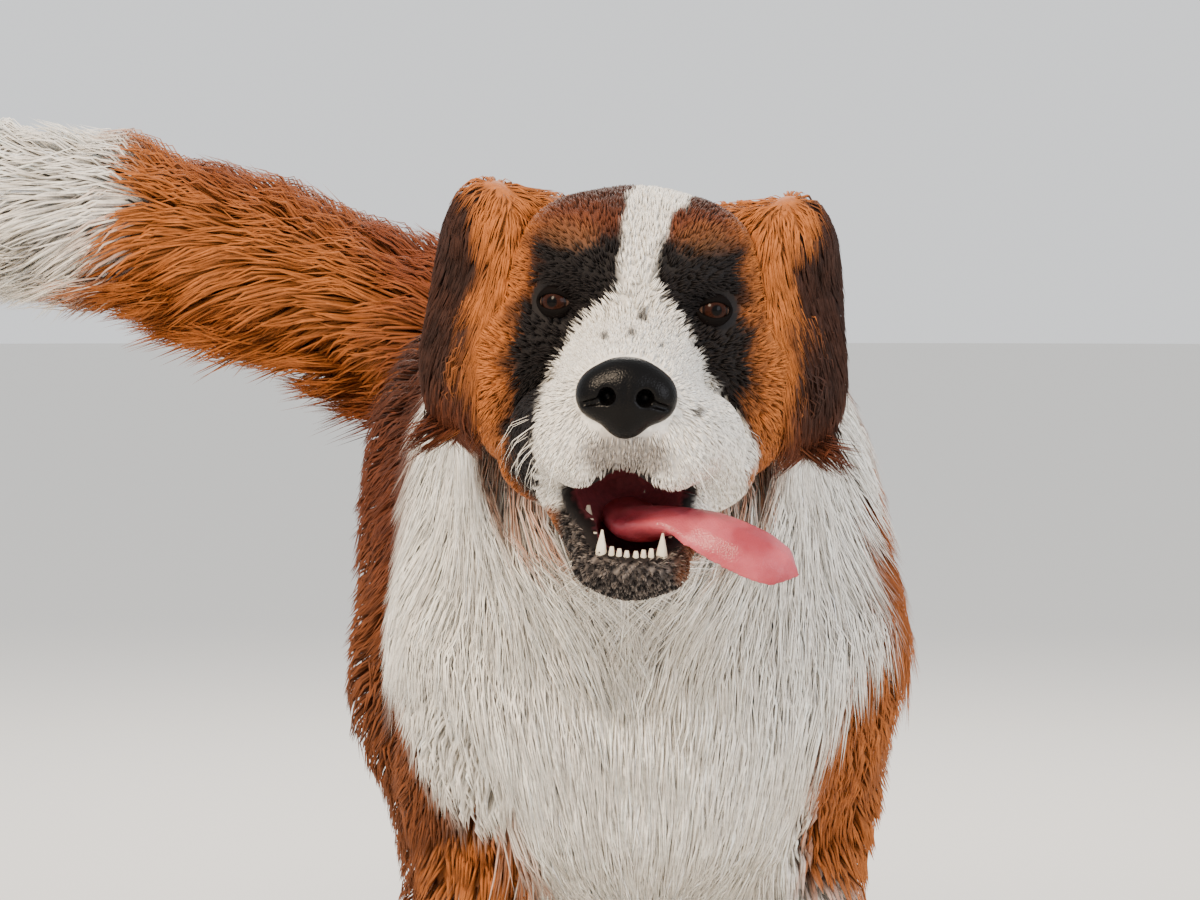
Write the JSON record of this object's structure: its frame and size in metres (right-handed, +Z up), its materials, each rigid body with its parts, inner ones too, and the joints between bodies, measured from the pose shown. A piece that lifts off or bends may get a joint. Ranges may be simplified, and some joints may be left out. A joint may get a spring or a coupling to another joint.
{
  "type": "saint bernard dog",
  "caption": "Life-size still model of a long-haired Saint Bernard walking, mouth open, tongue out to its left, tail swung up to its right.",
  "frame": {"origin": "on the floor, at the middle of the bottom of the whole dog's box", "axes": "+Z up, the dog faces -Y and its left side is towards +X"},
  "size_m": [0.8716, 1.3798, 0.9202],
  "materials": {
    "short_hair": "short flat hair, mahogany and orange with a white blaze and black mask",
    "long_hair": "long soft red-brown hair",
    "dark_hair": "dark brown hair with orange roots",
    "white_hair": "long soft white hair",
    "nose_leather": "damp pebbled black",
    "tongue": "damp pink, finely rough",
    "eye": "wet glossy dark brown"
  },
  "bodies": {
    "root": {"head": "short_hair", "lower_jaw": "short_hair", "nose": "nose_leather", "tongue": "tongue", "eye_left": "eye", "eye_right": "eye", "ear_left": "dark_hair", "ear_right": "dark_hair", "neck": "long_hair", "torso": "long_hair", "tail_root": "long_hair", "tail_middle": "long_hair", "tail_tip": "white_hair", "fore_left_forearm": "white_hair", "fore_left_pastern": "white_hair", "fore_left_paw": "white_hair", "fore_right_forearm": "long_hair", "fore_right_pastern": "white_hair", "fore_right_paw": "white_hair", "hind_left_thigh": "long_hair", "hind_left_shank": "long_hair", "hind_left_hock": "white_hair", "hind_left_paw": "white_hair", "hind_right_thigh": "long_hair", "hind_right_shank": "long_hair", "hind_right_hock": "white_hair", "hind_right_paw": "white_hair"}
  },
  "joints": []
}
